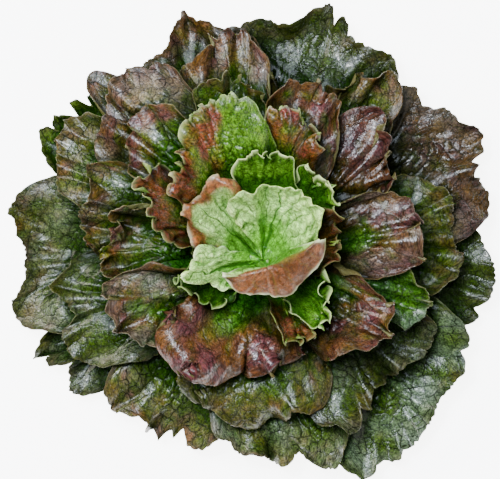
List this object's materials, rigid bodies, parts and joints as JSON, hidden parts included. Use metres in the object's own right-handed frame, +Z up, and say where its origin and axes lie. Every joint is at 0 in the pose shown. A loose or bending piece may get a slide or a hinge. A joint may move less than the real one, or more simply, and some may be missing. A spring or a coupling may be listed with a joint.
{
  "type": "red batavian lettuce head",
  "caption": "Whole head of red-tinged crisp lettuce, cut at the root, with spread ruffled outer leaves round a pale cupped heart.",
  "frame": {"origin": "centre of the flat cut face under the stem", "axes": "+Z up along the stem, through the heart; +Y points to the side that is at the top of a view from above"},
  "size_m": [0.3235, 0.3083, 0.1037],
  "materials": {
    "outer_leaf": "satin",
    "under_leaf": "satin",
    "middle_leaf": "satin",
    "inner_leaf": "satin",
    "heart_leaf": "satin",
    "stem": "matte"
  },
  "bodies": {
    "root": {"outer_leaf_01": "outer_leaf", "outer_leaf_02": "outer_leaf", "outer_leaf_03": "outer_leaf", "outer_leaf_04": "outer_leaf", "outer_leaf_05": "outer_leaf", "outer_leaf_06": "outer_leaf", "outer_leaf_07": "outer_leaf", "outer_leaf_08": "outer_leaf", "outer_leaf_09": "outer_leaf", "outer_leaf_10": "outer_leaf", "outer_leaf_11": "outer_leaf", "under_leaf_01": "under_leaf", "under_leaf_02": "under_leaf", "under_leaf_03": "under_leaf", "under_leaf_04": "under_leaf", "under_leaf_05": "under_leaf", "under_leaf_06": "under_leaf", "under_leaf_07": "under_leaf", "under_leaf_08": "under_leaf", "middle_leaf_01": "middle_leaf", "middle_leaf_02": "middle_leaf", "middle_leaf_03": "middle_leaf", "middle_leaf_04": "middle_leaf", "middle_leaf_05": "middle_leaf", "middle_leaf_06": "middle_leaf", "middle_leaf_07": "middle_leaf", "middle_leaf_08": "middle_leaf", "middle_leaf_09": "middle_leaf", "middle_leaf_10": "middle_leaf", "inner_leaf_01": "inner_leaf", "inner_leaf_02": "inner_leaf", "inner_leaf_03": "inner_leaf", "inner_leaf_04": "inner_leaf", "inner_leaf_05": "inner_leaf", "inner_leaf_06": "inner_leaf", "inner_leaf_07": "inner_leaf", "inner_leaf_08": "inner_leaf", "inner_leaf_09": "inner_leaf", "heart_leaf_01": "heart_leaf", "heart_leaf_02": "heart_leaf", "heart_leaf_03": "heart_leaf", "heart_leaf_folded": "heart_leaf", "stem": "stem"}
  },
  "joints": []
}
